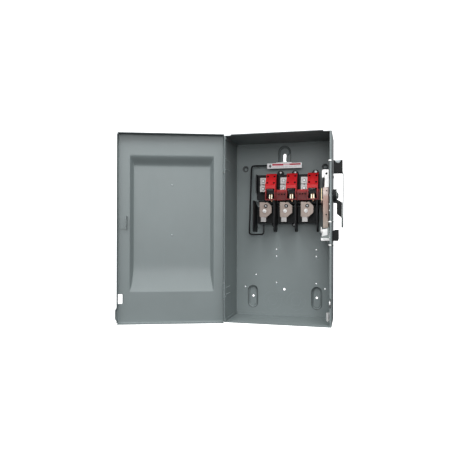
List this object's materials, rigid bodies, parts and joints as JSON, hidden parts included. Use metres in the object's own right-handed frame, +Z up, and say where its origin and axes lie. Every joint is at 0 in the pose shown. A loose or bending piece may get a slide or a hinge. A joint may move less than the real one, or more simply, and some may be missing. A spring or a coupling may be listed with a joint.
{
  "type": "ac disconnect box",
  "caption": "Wall-mounted safety switch: grey steel box with a side-hinged door, side lever, red line shield, black mouldings and lugs.",
  "frame": {"origin": "centre of the mounting plane, on the wall behind the middle of the box", "axes": "+Y into the wall, -Y out of the wall towards the user, +X towards the handle side, +Z up"},
  "size_m": [0.7247, 0.2819, 0.6242],
  "materials": {
    "enclosure_paint": "semi-gloss grey powder coat",
    "zinc": "galvanised, satin",
    "bright_zinc": "bright zinc plate",
    "yellow_zinc": "yellow-pink zinc dichromate, satin",
    "aluminium": "tin-plated, satin",
    "tinned_copper": "dull tin plate",
    "copper": "satin copper",
    "brass": "satin brass",
    "black_moulding": "black thermoset, matte",
    "red_shield": "red moulded plastic",
    "label_white": "printed plate",
    "handle_black": "black, low sheen"
  },
  "bodies": {
    "enclosure": {"enclosure_wrap": "enclosure_paint", "top_cap": "enclosure_paint", "bottom_cap": "enclosure_paint", "hub_plate": "enclosure_paint", "upper_hinge_box_leaf": "enclosure_paint", "lower_hinge_box_leaf": "enclosure_paint", "upper_hinge_pin": "zinc", "lower_hinge_pin": "zinc", "padlock_staple": "zinc", "label_bracket": "zinc", "interlock_pin": "zinc", "operating_spring": "zinc", "side_bolt_1": "zinc", "side_bolt_2": "zinc", "side_bolt_3": "zinc", "latch_spring": "bright_zinc", "frame_foot": "bright_zinc", "mechanism_frame": "yellow_zinc", "line_base": "black_moulding", "load_base": "black_moulding", "phase_barrier_1": "black_moulding", "phase_barrier_2": "black_moulding", "phase_barrier_3": "black_moulding", "phase_barrier_4": "black_moulding", "formed_rod": "black_moulding", "off_stop": "handle_black", "line_shield": "red_shield", "label_plate": "label_white", "left_line_lug": "aluminium", "left_load_lug": "aluminium", "left_line_jaw": "brass", "left_load_terminal": "tinned_copper", "left_terminal_screw": "zinc", "centre_line_lug": "aluminium", "centre_load_lug": "aluminium", "centre_line_jaw": "brass", "centre_load_terminal": "tinned_copper", "centre_terminal_screw": "zinc", "right_line_lug": "aluminium", "right_load_lug": "aluminium", "right_line_jaw": "brass", "right_load_terminal": "tinned_copper", "right_terminal_screw": "zinc"},
    "door": {"door": "enclosure_paint", "door_catch": "enclosure_paint", "upper_hinge_door_leaf": "enclosure_paint", "lower_hinge_door_leaf": "enclosure_paint"},
    "handle": {"handle_shaft": "zinc", "handle_crank": "yellow_zinc", "handle_arm": "handle_black", "handle_strap": "zinc", "handle_grip": "handle_black", "shaft_nut": "zinc"},
    "link": {"drive_link": "yellow_zinc"},
    "rotor": {"crossbar": "black_moulding", "rotor_crank": "yellow_zinc", "left_blade": "copper", "centre_blade": "copper", "right_blade": "copper"},
    "interlock": {"interlock_lever": "bright_zinc"}
  },
  "joints": [
    {"name": "door_hinge", "type": "hinge", "parent": "enclosure", "child": "door", "pos_m": [-0.1776, -0.163, 0], "axis": [0, 0, -1], "range_deg": [-160.3, 19.7]},
    {"name": "handle_pivot", "type": "hinge", "parent": "enclosure", "child": "handle", "pos_m": [0.175, -0.106, 0.108], "axis": [1, 0, 0], "range_deg": [0, 150]},
    {"name": "rotor_pivot", "type": "hinge", "parent": "enclosure", "child": "rotor", "pos_m": [0.02, -0.05, 0.0895], "axis": [1, 0, 0], "range_deg": [0, 50]},
    {"name": "link_pivot", "type": "hinge", "parent": "handle", "child": "link", "pos_m": [0.1375, -0.11147, 0.09297], "axis": [1, 0, 0], "range_deg": [-155.2, 0]},
    {"name": "interlock_pivot", "type": "hinge", "parent": "enclosure", "child": "interlock", "pos_m": [0.154, -0.106, -0.008], "axis": [-1, 0, 0], "range_deg": [0, 12]}
  ],
  "couplings": [
    {"joint": "rotor_pivot", "follows": "handle_pivot", "ratio": 0.33333},
    {"joint": "link_pivot", "follows": "handle_pivot", "ratio": -1.034}
  ]
}
